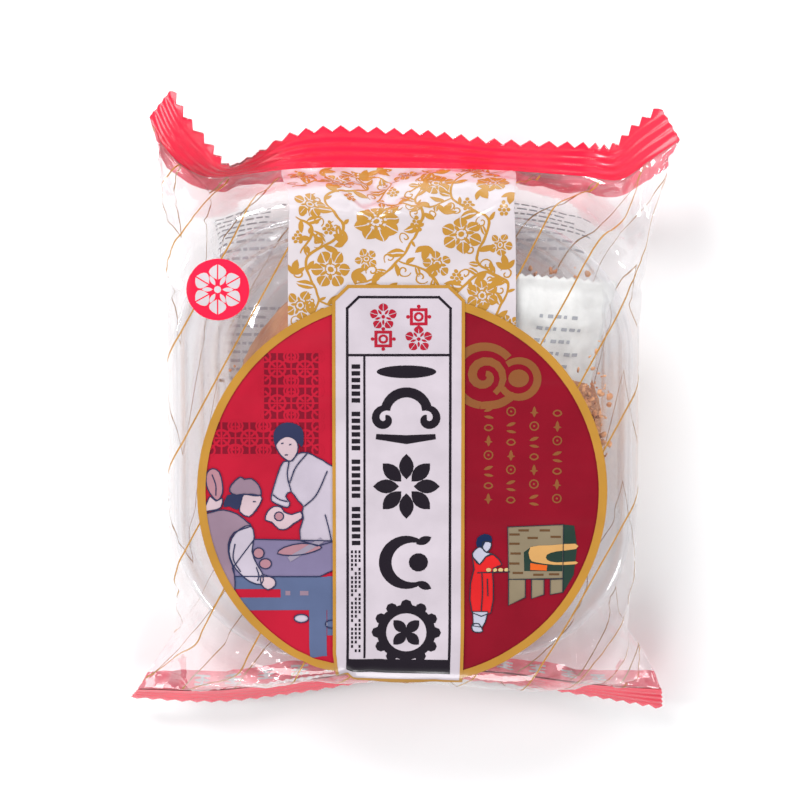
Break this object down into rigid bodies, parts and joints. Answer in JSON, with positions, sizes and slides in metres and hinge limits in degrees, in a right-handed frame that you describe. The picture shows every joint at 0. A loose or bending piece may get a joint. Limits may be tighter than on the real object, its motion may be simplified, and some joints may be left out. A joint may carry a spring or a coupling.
{
  "type": "wrapped mooncake",
  "caption": "Round pastry in a clear tray, sealed in a clear pillow wrap with toothed crimped ends, lying on its back.",
  "frame": {"origin": "middle of the flat back that the pack lies on", "axes": "+Z out of the printed face, +Y towards the pack's top crimp, +X to the right of the print"},
  "size_m": [0.0939, 0.1121, 0.0285],
  "materials": {
    "clear_film": "clear glossy printed film",
    "clear_tray": "clear thermoformed plastic",
    "pastry_crust": "baked flaky crust",
    "sachet_paper": "coated paper",
    "red_ink": "glossy print under film",
    "gold_ink": "glossy print under film",
    "pale_ink": "glossy print under film",
    "black_ink": "glossy print under film",
    "blue_ink": "glossy print under film"
  },
  "bodies": {
    "root": {"film_pack": "clear_film"}
  },
  "joints": []
}
